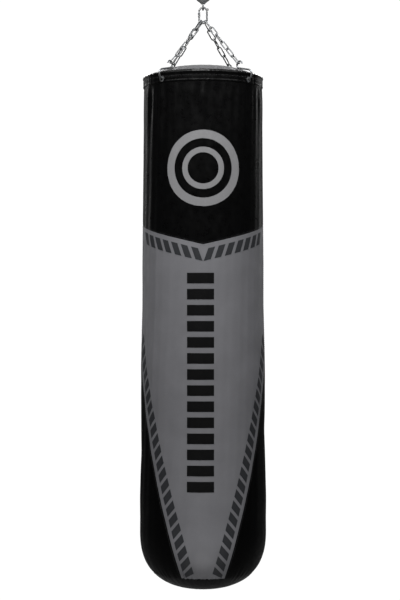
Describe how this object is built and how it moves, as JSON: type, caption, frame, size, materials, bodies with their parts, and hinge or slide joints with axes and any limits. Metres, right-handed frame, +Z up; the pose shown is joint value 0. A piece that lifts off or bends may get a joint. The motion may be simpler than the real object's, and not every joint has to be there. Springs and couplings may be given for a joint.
{
  "type": "heavy punching bag",
  "caption": "Tall stuffed leather bag with a domed zipped lid, hung by a four-strand chain yoke from a snap hook and a ball-bearing swivel.",
  "frame": {"origin": "centre of the hanging eye", "axes": "+Z up along the bag's axis, the bag's face looks along -Y, +X to the right"},
  "size_m": [0.37, 0.37, 1.818],
  "materials": {
    "zinc": "bright zinc plate",
    "bearing_steel": "ground",
    "cage_brass": "stamped",
    "hoop_steel": "plain rod",
    "black_leather": "artificial leather, fine grain, satin",
    "grey_leather": "artificial leather, fine grain, satin, with printed darker dashes",
    "lid_leather": "artificial leather, fine grain",
    "foam": "foam sheet",
    "filling": "packed textile shreds",
    "zip_tape": "woven tape",
    "zip_teeth": "moulded"
  },
  "bodies": {
    "hanger": {"hang_clevis": "zinc", "clevis_bolt": "zinc", "clevis_nut": "zinc"},
    "swivel": {"swivel_housing": "zinc", "swivel_cap": "zinc", "lower_race": "bearing_steel"},
    "ball_ring": {"ball_cage": "cage_brass", "bearing_balls": "bearing_steel"},
    "shank": {"swivel_shank": "zinc", "upper_race": "bearing_steel", "shank_nut": "zinc", "split_pin": "zinc"},
    "gate": {"snap_gate": "zinc"},
    "zip_slider": {"zip_slider": "zinc"},
    "zip_pull": {"zip_pull": "zinc"},
    "bag": {"snap_hook": "zinc", "gate_rivet": "zinc", "rim_hoop": "hoop_steel", "rim_hem": "black_leather", "eyelets": "zinc", "chain_front_left": "zinc", "chain_front_right": "zinc", "chain_back_right": "zinc", "chain_back_left": "zinc", "s_hook_front_left": "zinc", "s_hook_front_right": "zinc", "s_hook_back_right": "zinc", "s_hook_back_left": "zinc", "top_panel_front": "black_leather", "top_panel_back": "black_leather", "middle_panel_front": "grey_leather", "middle_panel_back": "grey_leather", "side_panel_left": "black_leather", "side_panel_right": "black_leather", "bottom_disc": "black_leather", "foam_liner": "foam", "filling_core": "filling", "top_pad": "filling", "bottom_pad": "filling", "lid_front": "lid_leather", "lid_back": "lid_leather", "zip_tape_front": "zip_tape", "zip_tape_back": "zip_tape", "zip_teeth_front": "zip_teeth", "zip_teeth_back": "zip_teeth", "zip_stops": "zinc"}
  },
  "joints": [
    {"name": "swing_fore_aft", "type": "hinge", "parent": "hanger", "child": "swivel", "pos_m": [0, 0, -0.031], "axis": [1, 0, 0], "range_deg": [-40, 40]},
    {"name": "swivel_spin", "type": "hinge", "parent": "swivel", "child": "shank", "pos_m": [0, 0, -0.06], "axis": [0, 0, 1], "continuous": true},
    {"name": "ball_roll", "type": "hinge", "parent": "swivel", "child": "ball_ring", "pos_m": [0, 0, -0.065], "axis": [0, 0, 1], "continuous": true},
    {"name": "swing_side", "type": "hinge", "parent": "shank", "child": "bag", "pos_m": [0, 0, -0.1011], "axis": [0, 1, 0], "range_deg": [-40, 40]},
    {"name": "gate_hinge", "type": "hinge", "parent": "bag", "child": "gate", "pos_m": [0.0115, 0, -0.1265], "axis": [0, -1, 0], "range_deg": [0, 26], "stiffness_Nm_per_rad": 0.05, "springref_deg": -17.19},
    {"name": "zip_slide", "type": "slide", "parent": "bag", "child": "zip_slider", "axis": [-1, 0, 0], "range_m": [0, 0.156]},
    {"name": "pull_hinge", "type": "hinge", "parent": "zip_slider", "child": "zip_pull", "pos_m": [0.078, 0, -0.2705], "axis": [0, 1, 0], "range_deg": [0, 175]}
  ],
  "couplings": [
    {"joint": "ball_roll", "follows": "swivel_spin", "ratio": 0.5}
  ]
}
